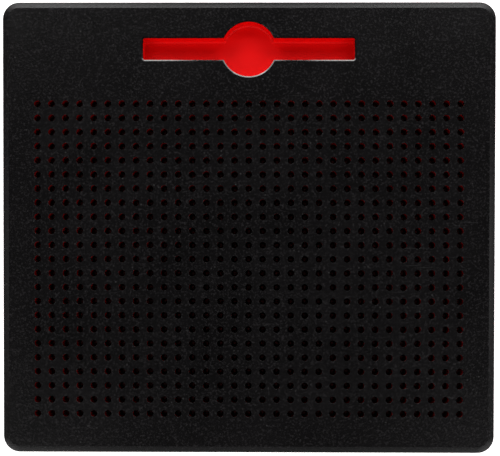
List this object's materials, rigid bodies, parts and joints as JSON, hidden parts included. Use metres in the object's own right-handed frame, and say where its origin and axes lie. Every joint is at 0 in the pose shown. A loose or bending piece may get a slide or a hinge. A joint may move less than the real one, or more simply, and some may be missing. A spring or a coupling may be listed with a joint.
{
  "type": "magnetic ball drawing board",
  "caption": "Flat square drawing board with a black perforated face over rows of captive steel balls and an open red stylus recess near one edge.",
  "frame": {"origin": "middle of the underside of the rear cover, with the board lying on its back", "axes": "+Z out of the drawing face, +Y towards the edge with the stylus recess, +X to the right as the face is seen"},
  "size_m": [0.28, 0.256, 0.013],
  "materials": {
    "black_plastic": "fine moulded grain, satin",
    "red_plastic": "semi-gloss",
    "ball_steel": "polished bearing balls",
    "dark_sheet": "matt",
    "screw_steel": "zinc-plated"
  },
  "bodies": {
    "case": {"front_cover": "black_plastic", "ball_tray": "red_plastic", "floor_sheet": "dark_sheet", "rear_cover": "red_plastic", "case_screw_01": "screw_steel", "case_screw_02": "screw_steel", "case_screw_03": "screw_steel", "case_screw_04": "screw_steel", "case_screw_05": "screw_steel", "case_screw_06": "screw_steel", "case_screw_07": "screw_steel", "case_screw_08": "screw_steel", "case_screw_09": "screw_steel", "case_screw_10": "screw_steel"},
    "ball_row_01": {"ball_row_01": "ball_steel"},
    "ball_row_02": {"ball_row_02": "ball_steel"},
    "ball_row_03": {"ball_row_03": "ball_steel"},
    "ball_row_04": {"ball_row_04": "ball_steel"},
    "ball_row_05": {"ball_row_05": "ball_steel"},
    "ball_row_06": {"ball_row_06": "ball_steel"},
    "ball_row_07": {"ball_row_07": "ball_steel"},
    "ball_row_08": {"ball_row_08": "ball_steel"},
    "ball_row_09": {"ball_row_09": "ball_steel"},
    "ball_row_10": {"ball_row_10": "ball_steel"},
    "ball_row_11": {"ball_row_11": "ball_steel"},
    "ball_row_12": {"ball_row_12": "ball_steel"},
    "ball_row_13": {"ball_row_13": "ball_steel"},
    "ball_row_14": {"ball_row_14": "ball_steel"},
    "ball_row_15": {"ball_row_15": "ball_steel"},
    "ball_row_16": {"ball_row_16": "ball_steel"},
    "ball_row_17": {"ball_row_17": "ball_steel"},
    "ball_row_18": {"ball_row_18": "ball_steel"},
    "ball_row_19": {"ball_row_19": "ball_steel"},
    "ball_row_20": {"ball_row_20": "ball_steel"},
    "ball_row_21": {"ball_row_21": "ball_steel"},
    "ball_row_22": {"ball_row_22": "ball_steel"},
    "ball_row_23": {"ball_row_23": "ball_steel"}
  },
  "joints": [
    {"name": "ball_row_01_lift", "type": "slide", "parent": "case", "child": "ball_row_01", "axis": [0, 0, 1], "range_m": [0, 0.0056]},
    {"name": "ball_row_02_lift", "type": "slide", "parent": "case", "child": "ball_row_02", "axis": [0, 0, 1], "range_m": [0, 0.0056]},
    {"name": "ball_row_03_lift", "type": "slide", "parent": "case", "child": "ball_row_03", "axis": [0, 0, 1], "range_m": [0, 0.0056]},
    {"name": "ball_row_04_lift", "type": "slide", "parent": "case", "child": "ball_row_04", "axis": [0, 0, 1], "range_m": [0, 0.0056]},
    {"name": "ball_row_05_lift", "type": "slide", "parent": "case", "child": "ball_row_05", "axis": [0, 0, 1], "range_m": [0, 0.0056]},
    {"name": "ball_row_06_lift", "type": "slide", "parent": "case", "child": "ball_row_06", "axis": [0, 0, 1], "range_m": [0, 0.0056]},
    {"name": "ball_row_07_lift", "type": "slide", "parent": "case", "child": "ball_row_07", "axis": [0, 0, 1], "range_m": [0, 0.0056]},
    {"name": "ball_row_08_lift", "type": "slide", "parent": "case", "child": "ball_row_08", "axis": [0, 0, 1], "range_m": [0, 0.0056]},
    {"name": "ball_row_09_lift", "type": "slide", "parent": "case", "child": "ball_row_09", "axis": [0, 0, 1], "range_m": [0, 0.0056]},
    {"name": "ball_row_10_lift", "type": "slide", "parent": "case", "child": "ball_row_10", "axis": [0, 0, 1], "range_m": [0, 0.0056]},
    {"name": "ball_row_11_lift", "type": "slide", "parent": "case", "child": "ball_row_11", "axis": [0, 0, 1], "range_m": [0, 0.0056]},
    {"name": "ball_row_12_lift", "type": "slide", "parent": "case", "child": "ball_row_12", "axis": [0, 0, 1], "range_m": [0, 0.0056]},
    {"name": "ball_row_13_lift", "type": "slide", "parent": "case", "child": "ball_row_13", "axis": [0, 0, 1], "range_m": [0, 0.0056]},
    {"name": "ball_row_14_lift", "type": "slide", "parent": "case", "child": "ball_row_14", "axis": [0, 0, 1], "range_m": [0, 0.0056]},
    {"name": "ball_row_15_lift", "type": "slide", "parent": "case", "child": "ball_row_15", "axis": [0, 0, 1], "range_m": [0, 0.0056]},
    {"name": "ball_row_16_lift", "type": "slide", "parent": "case", "child": "ball_row_16", "axis": [0, 0, 1], "range_m": [0, 0.0056]},
    {"name": "ball_row_17_lift", "type": "slide", "parent": "case", "child": "ball_row_17", "axis": [0, 0, 1], "range_m": [0, 0.0056]},
    {"name": "ball_row_18_lift", "type": "slide", "parent": "case", "child": "ball_row_18", "axis": [0, 0, 1], "range_m": [0, 0.0056]},
    {"name": "ball_row_19_lift", "type": "slide", "parent": "case", "child": "ball_row_19", "axis": [0, 0, 1], "range_m": [0, 0.0056]},
    {"name": "ball_row_20_lift", "type": "slide", "parent": "case", "child": "ball_row_20", "axis": [0, 0, 1], "range_m": [0, 0.0056]},
    {"name": "ball_row_21_lift", "type": "slide", "parent": "case", "child": "ball_row_21", "axis": [0, 0, 1], "range_m": [0, 0.0056]},
    {"name": "ball_row_22_lift", "type": "slide", "parent": "case", "child": "ball_row_22", "axis": [0, 0, 1], "range_m": [0, 0.0056]},
    {"name": "ball_row_23_lift", "type": "slide", "parent": "case", "child": "ball_row_23", "axis": [0, 0, 1], "range_m": [0, 0.0056]}
  ]
}
